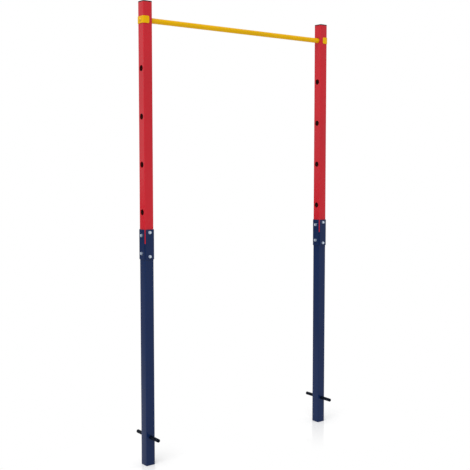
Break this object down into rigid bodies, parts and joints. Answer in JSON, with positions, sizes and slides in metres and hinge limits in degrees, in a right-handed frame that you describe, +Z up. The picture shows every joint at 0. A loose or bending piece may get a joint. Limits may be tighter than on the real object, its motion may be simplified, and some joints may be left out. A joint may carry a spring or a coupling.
{
  "type": "outdoor pull-up bar",
  "caption": "Free bar between two concreted-in square posts, each spliced at mid height, with five heights for the bar.",
  "frame": {"origin": "midway between the two posts' feet, in the plane of their cut ends", "axes": "+X along the bar to the right, -Y towards the front, +Z up along the posts"},
  "size_m": [1.2516, 0.2, 2.3156],
  "materials": {
    "post_red": "satin powder coat",
    "post_navy": "satin powder coat",
    "bar_yellow": "satin powder coat",
    "zinc": "bright zinc plate",
    "screw_yellow_zinc": "yellow zinc plate",
    "plug_steel": "turned, oiled",
    "rod_black": "black lacquer",
    "cap_black": "moulded"
  },
  "bodies": {
    "root": {"lower_post_left": "post_navy", "upper_post_left": "post_red", "top_cap_left": "cap_black", "splice_angle_left_front": "post_navy", "splice_angle_left_rear": "post_navy", "splice_bolt_left_side_upper": "zinc", "head_washer_left_side_upper": "zinc", "nut_washer_left_side_upper": "zinc", "splice_nut_left_side_upper": "zinc", "splice_bolt_left_side_lower": "zinc", "head_washer_left_side_lower": "zinc", "nut_washer_left_side_lower": "zinc", "splice_nut_left_side_lower": "zinc", "splice_bolt_left_front_upper": "zinc", "head_washer_left_front_upper": "zinc", "nut_washer_left_front_upper": "zinc", "splice_nut_left_front_upper": "zinc", "splice_bolt_left_front_lower": "zinc", "head_washer_left_front_lower": "zinc", "nut_washer_left_front_lower": "zinc", "splice_nut_left_front_lower": "zinc", "anchor_rod_left": "rod_black", "lower_post_right": "post_navy", "upper_post_right": "post_red", "top_cap_right": "cap_black", "splice_angle_right_front": "post_navy", "splice_angle_right_rear": "post_navy", "splice_bolt_right_side_upper": "zinc", "head_washer_right_side_upper": "zinc", "nut_washer_right_side_upper": "zinc", "splice_nut_right_side_upper": "zinc", "splice_bolt_right_side_lower": "zinc", "head_washer_right_side_lower": "zinc", "nut_washer_right_side_lower": "zinc", "splice_nut_right_side_lower": "zinc", "splice_bolt_right_front_upper": "zinc", "head_washer_right_front_upper": "zinc", "nut_washer_right_front_upper": "zinc", "splice_nut_right_front_upper": "zinc", "splice_bolt_right_front_lower": "zinc", "head_washer_right_front_lower": "zinc", "nut_washer_right_front_lower": "zinc", "splice_nut_right_front_lower": "zinc", "anchor_rod_right": "rod_black"},
    "crossbar": {"crossbar": "bar_yellow", "bar_plug_left": "plug_steel", "bar_plug_right": "plug_steel"},
    "clip_left": {"end_clip_left": "bar_yellow", "clip_screw_left": "screw_yellow_zinc"},
    "clip_right": {"end_clip_right": "bar_yellow", "clip_screw_right": "screw_yellow_zinc"}
  },
  "joints": [
    {"name": "crossbar_draw", "type": "slide", "parent": "root", "child": "crossbar", "axis": [-1, 0, 0], "range_m": [0, 1.235]},
    {"name": "clip_left_off", "type": "slide", "parent": "crossbar", "child": "clip_left", "axis": [-1, 0, 0], "range_m": [0, 0.05]},
    {"name": "clip_right_off", "type": "slide", "parent": "root", "child": "clip_right", "axis": [1, 0, 0], "range_m": [0, 0.05]}
  ]
}
